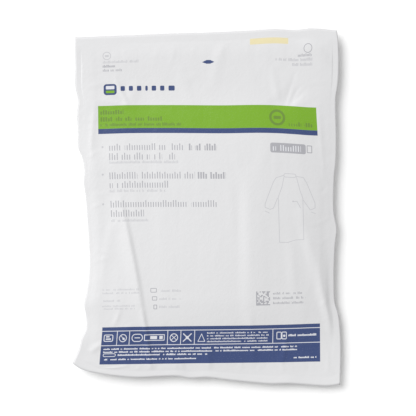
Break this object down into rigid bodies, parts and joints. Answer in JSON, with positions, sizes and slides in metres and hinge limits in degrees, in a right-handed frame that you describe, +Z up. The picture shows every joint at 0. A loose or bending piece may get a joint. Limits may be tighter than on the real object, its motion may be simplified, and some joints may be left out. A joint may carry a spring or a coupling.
{
  "type": "sealed surgical gown pouch",
  "caption": "Flat white film pouch, heat-sealed all round a folded surgical gown, lying on its plain back web with its edges curled up a little.",
  "frame": {"origin": "middle of the outline, on the surface that the back web rests on", "axes": "+Z up out of the printed front, +Y from the foot seal towards the header, +X to the right of the print"},
  "size_m": [0.3112, 0.4122, 0.0222],
  "materials": {
    "front_film": "satin white film, printed",
    "back_film": "satin white film",
    "gown_cloth": "matt nonwoven"
  },
  "bodies": {
    "root": {"front_web": "front_film", "back_web": "back_film", "folded_gown": "gown_cloth"}
  },
  "joints": []
}
